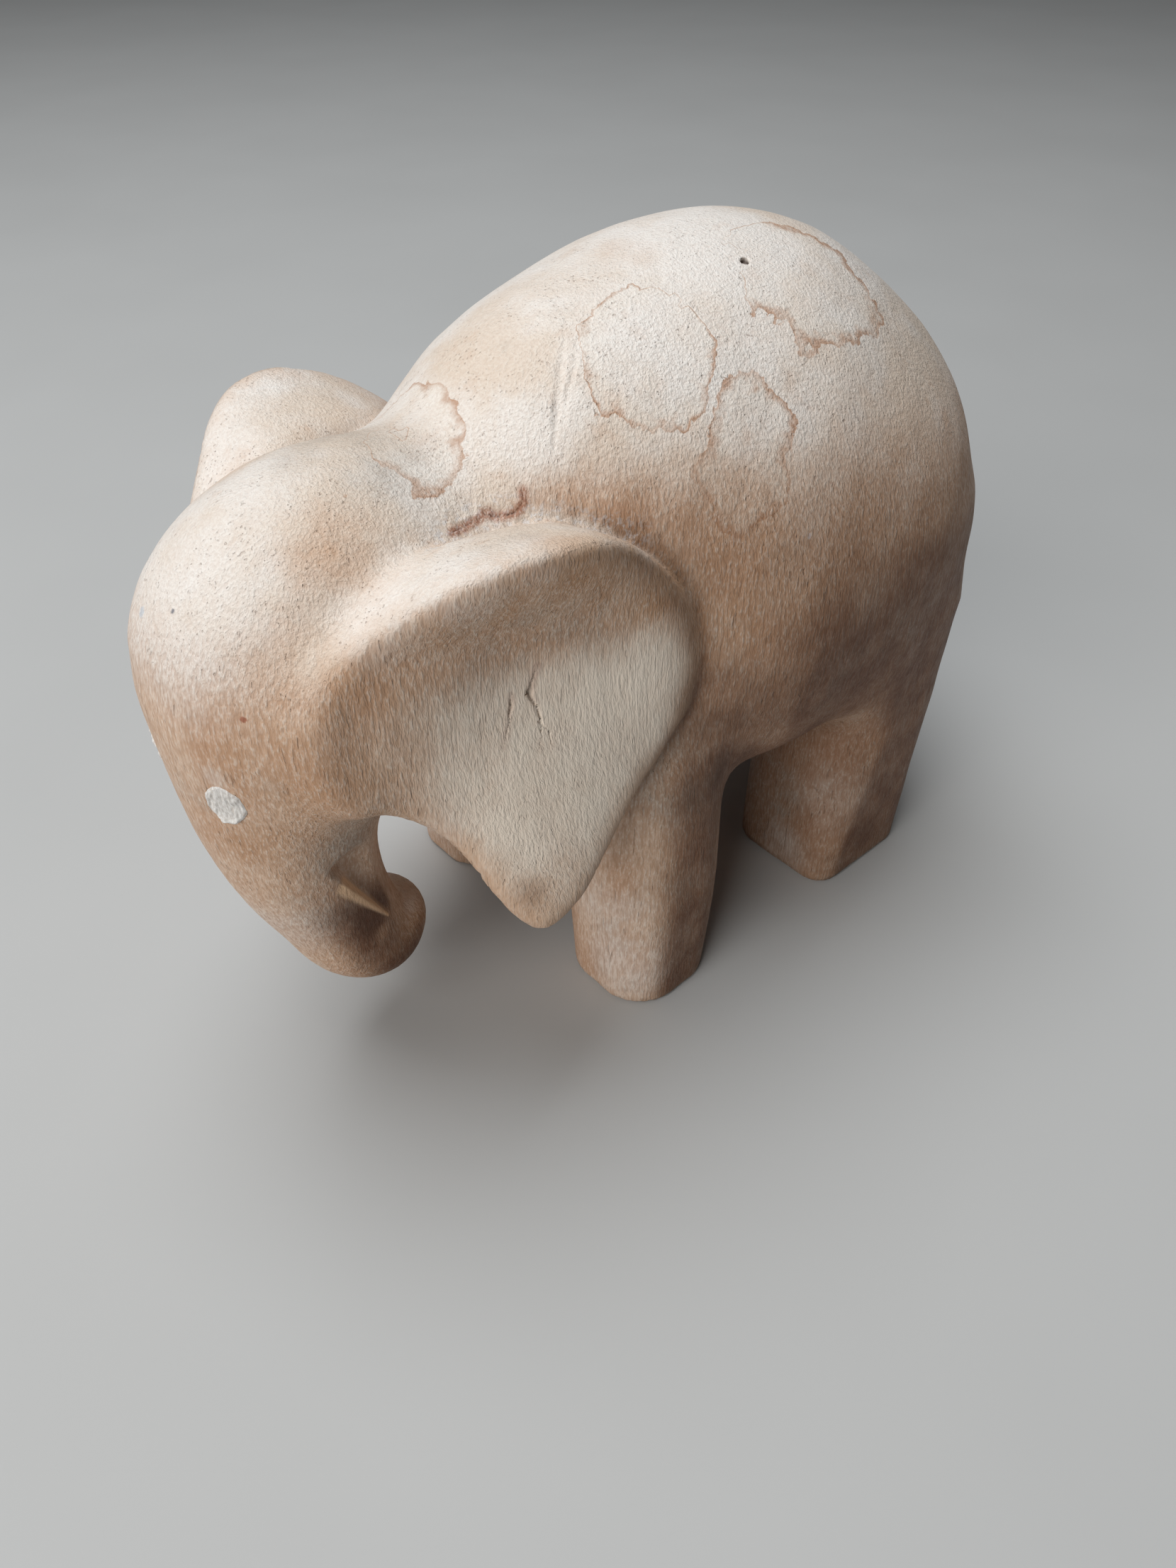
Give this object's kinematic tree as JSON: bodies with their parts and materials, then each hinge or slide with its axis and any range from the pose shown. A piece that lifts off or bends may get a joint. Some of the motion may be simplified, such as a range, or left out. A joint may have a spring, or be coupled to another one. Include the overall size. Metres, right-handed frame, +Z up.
{
  "type": "elephant figurine",
  "caption": "Carved wooden elephant with a humped back, flared ears and a curled trunk, standing on four flat soles",
  "frame": {"origin": "on the ground, under the middle of the bounding box", "axes": "X is the length with the nose towards -X, Y is across with the left side towards -Y, Z is up"},
  "size_m": [0.0986, 0.0538, 0.0789],
  "materials": {
    "carved_wood": "satin",
    "tusk_peg": "matte"
  },
  "bodies": {
    "root": {"carved_elephant": "carved_wood", "tusk_stub_left": "tusk_peg", "tusk_stub_right": "tusk_peg"}
  },
  "joints": []
}
